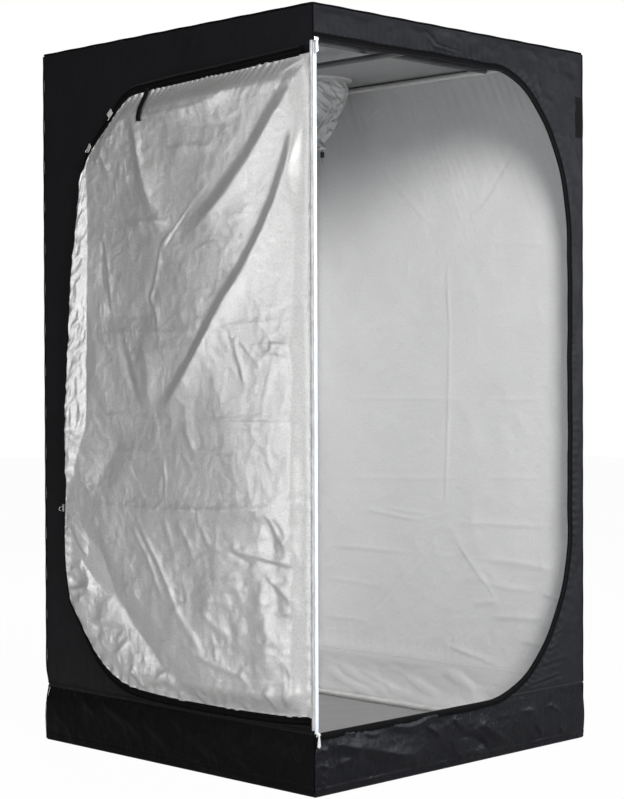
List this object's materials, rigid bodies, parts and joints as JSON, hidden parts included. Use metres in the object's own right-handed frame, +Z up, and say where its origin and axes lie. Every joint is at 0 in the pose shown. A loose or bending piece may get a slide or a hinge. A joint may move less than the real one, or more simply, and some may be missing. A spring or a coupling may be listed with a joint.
{
  "type": "indoor grow tent",
  "caption": "Square grow tent: tube frame in a black woven cover with silver lining, a large D-shaped doorway, and its zipped door leaf folded back over the side wall.",
  "frame": {"origin": "middle of the floor sheet's underside", "axes": "+Z up; the doorway is in the front wall, which faces -Y; the folded-back door leaf lies over the left wall, which faces -X"},
  "size_m": [1.0483, 1.0119, 1.8015],
  "materials": {
    "cover_black": "woven, semi-matt",
    "skirt_black": "woven, slightly glossy",
    "silver_cloth": "silver coated",
    "tray_grey": "coated, matt",
    "webbing_black": "woven tape",
    "pole_paint": "gloss",
    "bare_steel": "drawn tube",
    "connector_steel": "plated",
    "zip_metal": "bright plated",
    "clip_black": "black enamel",
    "mesh_black": "open mesh",
    "cord_grey": "braided",
    "lock_black": "moulded"
  },
  "bodies": {
    "tent": {"post_front_left_lower": "pole_paint", "post_front_left_upper": "pole_paint", "post_front_right_lower": "pole_paint", "post_front_right_upper": "pole_paint", "post_rear_left_lower": "pole_paint", "post_rear_left_upper": "pole_paint", "post_rear_right_lower": "pole_paint", "post_rear_right_upper": "pole_paint", "rail_bottom_front": "bare_steel", "rail_bottom_rear": "bare_steel", "rail_bottom_left": "bare_steel", "rail_bottom_right": "bare_steel", "rail_top_front": "bare_steel", "rail_top_rear": "bare_steel", "rail_top_left": "bare_steel", "rail_top_right": "bare_steel", "connector_bottom_front_left": "connector_steel", "connector_bottom_front_right": "connector_steel", "connector_bottom_rear_left": "connector_steel", "connector_bottom_rear_right": "connector_steel", "connector_top_front_left": "connector_steel", "connector_top_front_right": "connector_steel", "connector_top_rear_left": "connector_steel", "connector_top_rear_right": "connector_steel", "floor_sheet": "cover_black", "skirt_front": "skirt_black", "skirt_rear": "skirt_black", "skirt_left": "skirt_black", "skirt_right": "skirt_black", "wall_front": "cover_black", "wall_left": "cover_black", "wall_right": "cover_black", "wall_rear": "cover_black", "roof_panel": "cover_black", "roof_piping": "webbing_black", "corner_piping": "webbing_black", "doorway_zip": "webbing_black", "side_tag": "webbing_black", "floor_tray": "tray_grey", "duct_sleeve": "silver_cloth", "duct_drawcord": "cord_grey", "rear_vent_mesh": "mesh_black"},
    "door": {"door_leaf": "silver_cloth", "door_zip": "webbing_black", "door_clip_1": "clip_black", "door_clip_2": "clip_black", "door_clip_3": "clip_black"},
    "tie": {"door_tie": "webbing_black"},
    "lever_1": {"clip_lever_1": "zip_metal"},
    "lever_2": {"clip_lever_2": "zip_metal"},
    "lever_3": {"clip_lever_3": "zip_metal"},
    "slider_top": {"zip_slider_top": "zip_metal"},
    "slider_bottom": {"zip_slider_bottom": "zip_metal"},
    "pull_top": {"zip_pull_top": "zip_metal"},
    "pull_bottom": {"zip_pull_bottom": "zip_metal"},
    "long_bar": {"roof_bar_long": "bare_steel"},
    "cross_bar": {"roof_bar_cross": "bare_steel"},
    "vent_flap": {"rear_vent_flap": "cover_black"},
    "cord_lock": {"duct_cord_lock": "lock_black"}
  },
  "joints": [
    {"name": "door_swing", "type": "hinge", "parent": "tent", "child": "door", "pos_m": [-0.5125, -0.506, 0.1555], "axis": [0, 0, 1], "range_deg": [0, 270]},
    {"name": "tie_lift", "type": "hinge", "parent": "door", "child": "tie", "pos_m": [-0.51394, 0.06048, 1.66556], "axis": [0, 1, 0], "range_deg": [0, 85]},
    {"name": "lever_1_fold", "type": "hinge", "parent": "door", "child": "lever_1", "pos_m": [-0.51855, 0.19837, 1.6093], "axis": [-0.037, 0.754, -0.6558], "range_deg": [0, 90]},
    {"name": "lever_2_fold", "type": "hinge", "parent": "door", "child": "lever_2", "pos_m": [-0.52094, 0.28153, 1.53238], "axis": [-0.0241, 0.566, -0.8241], "range_deg": [0, 90]},
    {"name": "lever_3_fold", "type": "hinge", "parent": "door", "child": "lever_3", "pos_m": [-0.52265, 0.39328, 0.61559], "axis": [-0.0001, 0.0509, -0.9987], "range_deg": [0, 90]},
    {"name": "slider_top_run", "type": "slide", "parent": "tent", "child": "slider_top", "axis": [1, 0, 0], "range_m": [0, 0.6]},
    {"name": "slider_bottom_run", "type": "slide", "parent": "tent", "child": "slider_bottom", "axis": [1, 0, 0], "range_m": [0, 0.58]},
    {"name": "pull_top_swing", "type": "hinge", "parent": "slider_top", "child": "pull_top", "pos_m": [-0.494, -0.50645, 1.7185], "axis": [-1, 0, 0], "range_deg": [0, 120]},
    {"name": "pull_bottom_swing", "type": "hinge", "parent": "slider_bottom", "child": "pull_bottom", "pos_m": [-0.494, -0.50645, 0.1425], "axis": [-1, 0, 0], "range_deg": [0, 120]},
    {"name": "long_bar_slide", "type": "slide", "parent": "tent", "child": "long_bar", "axis": [1, 0, 0], "range_m": [-0.39, 0.15]},
    {"name": "cross_bar_slide", "type": "slide", "parent": "tent", "child": "cross_bar", "axis": [0, 1, 0], "range_m": [-0.2, 0.36]},
    {"name": "vent_flap_lift", "type": "hinge", "parent": "tent", "child": "vent_flap", "pos_m": [0, 0.50135, 0.39925], "axis": [1, 0, 0], "range_deg": [0, 170]},
    {"name": "cord_lock_slide", "type": "slide", "parent": "tent", "child": "cord_lock", "axis": [0, 0, 1], "range_m": [-0.014, 0.005]}
  ]
}
